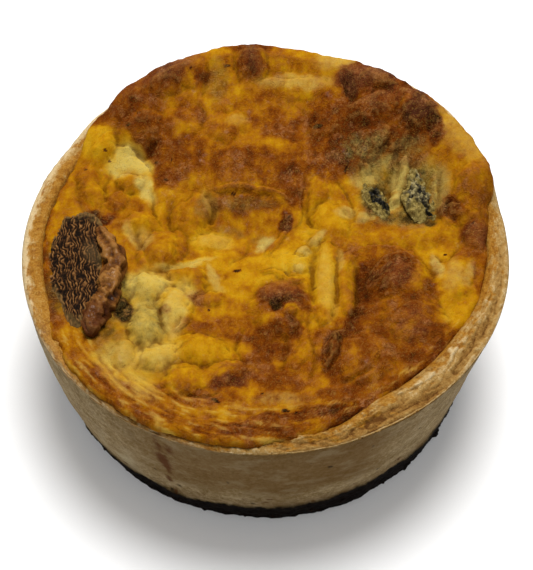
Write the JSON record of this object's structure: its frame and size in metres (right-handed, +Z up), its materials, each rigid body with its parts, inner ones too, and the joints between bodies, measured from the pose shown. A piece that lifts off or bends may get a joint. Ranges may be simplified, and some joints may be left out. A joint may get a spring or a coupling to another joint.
{
  "type": "quiche",
  "caption": "Individual deep quiche: a tapered pastry case with a dark base, browned cheese filling mounded over the back rim, and mushroom pieces baked into the top.",
  "frame": {"origin": "on the table, under the middle of the round base", "axes": "+Z up out of the filling, +Y towards the raised back edge, +X to the right of the picture's viewer"},
  "size_m": [0.1048, 0.1046, 0.0514],
  "materials": {
    "pastry": "matte, floury, slightly mottled baked dough",
    "baked_cheese": "oily satin, browned in patches",
    "mushroom_gills": "matt, dried and dark",
    "browned_mushroom": "satin, roasted",
    "stewed_mushroom": "moist satin"
  },
  "bodies": {
    "root": {"pastry_case": "pastry", "filling": "baked_cheese", "gilled_mushroom": "mushroom_gills", "curled_mushroom_edge": "browned_mushroom", "mushroom_slice_dark": "stewed_mushroom", "mushroom_slice_shaded": "stewed_mushroom"}
  },
  "joints": []
}
